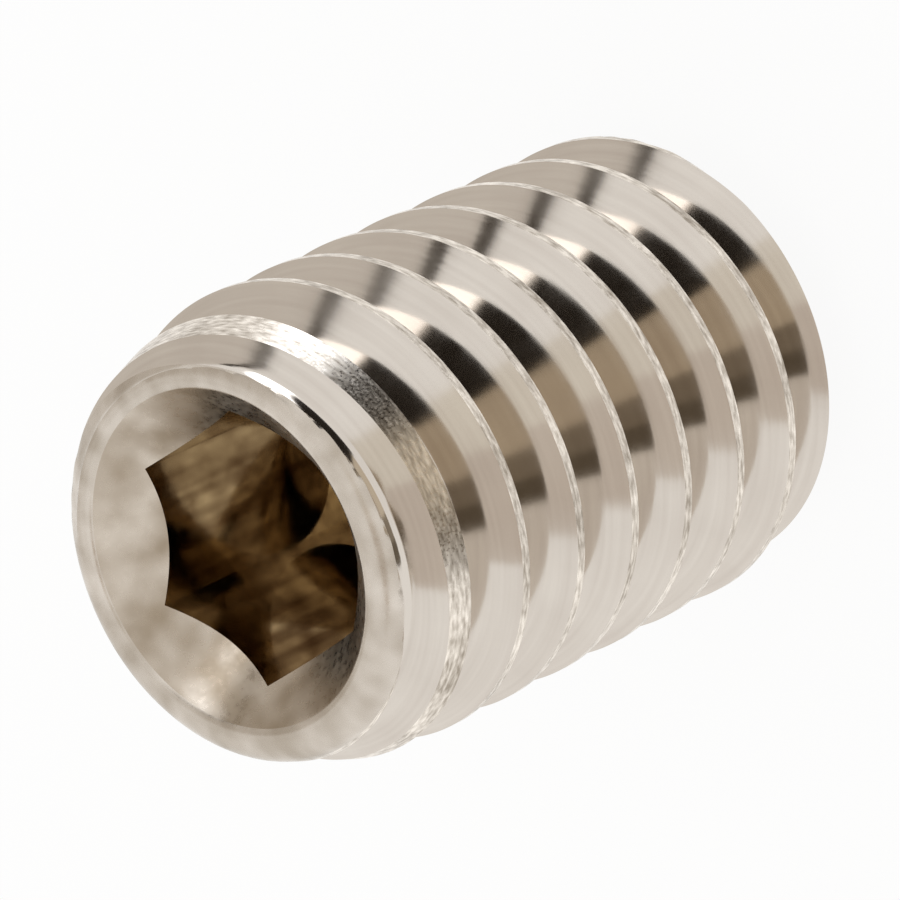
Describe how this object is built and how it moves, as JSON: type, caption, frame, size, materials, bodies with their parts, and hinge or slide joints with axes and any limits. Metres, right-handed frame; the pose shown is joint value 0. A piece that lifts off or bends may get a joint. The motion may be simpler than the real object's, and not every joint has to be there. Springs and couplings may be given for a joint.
{
  "type": "socket set screw",
  "caption": "Headless threaded screw with a hexagon socket in one end and a flat point on the other, for locking one part on another.",
  "frame": {"origin": "centre of the flat point's face, which the screw stands on", "axes": "+Z along the screw's axis, from the point to the socket; a corner of the hexagon lies on +Y"},
  "size_m": [0.004, 0.004, 0.006],
  "materials": {
    "stainless_steel": "bright rolled and turned stainless steel"
  },
  "bodies": {
    "root": {"set_screw": "stainless_steel"}
  },
  "joints": []
}
